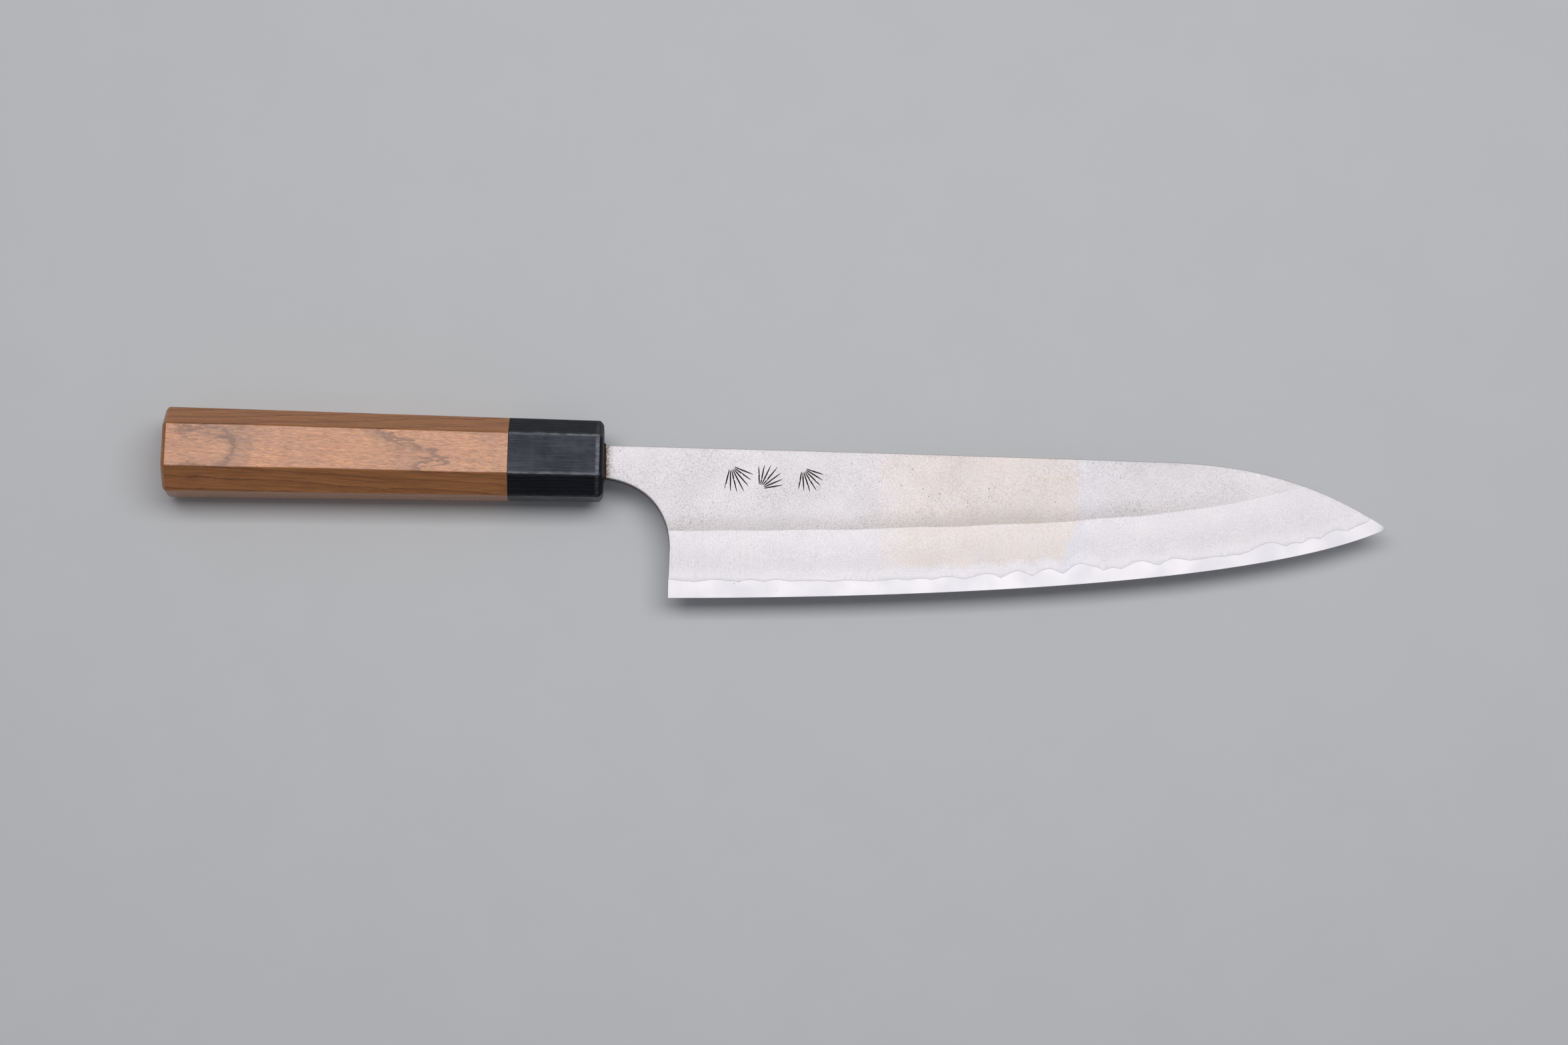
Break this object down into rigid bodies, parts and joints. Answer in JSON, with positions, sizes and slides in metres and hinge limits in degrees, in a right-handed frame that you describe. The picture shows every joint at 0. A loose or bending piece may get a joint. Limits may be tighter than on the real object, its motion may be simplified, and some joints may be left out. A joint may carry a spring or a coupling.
{
  "type": "chef knife",
  "caption": "Chef knife with a laminated flat-ground blade, pointed tip and open heel, on a tapered octagonal wooden handle with a dark ferrule.",
  "frame": {"origin": "middle of the whole knife's bounding box at its lowest level, lying flat on its left side", "axes": "+X along the handle axis towards the tip, +Y towards the spine, +Z out of the blade's right side"},
  "size_m": [0.3564, 0.0524, 0.0211],
  "materials": {
    "core_steel": "bright polished hard steel along the edge",
    "cladding_steel": "matt pear-skin flat above a satin ground bevel",
    "black_ferrule": "black dyed resin-bonded wood, satin",
    "cherry_wood": "oiled satin cherry",
    "dowel_wood": "plain turned hardwood",
    "epoxy": "cast amber resin",
    "seal_resin": "dark brown resin bead"
  },
  "bodies": {
    "root": {"blade_core": "core_steel", "cladding_right": "cladding_steel", "cladding_left": "cladding_steel", "ferrule": "black_ferrule", "handle_body": "cherry_wood", "dowel": "dowel_wood", "tang_adhesive": "epoxy", "mouth_seal": "seal_resin"}
  },
  "joints": []
}
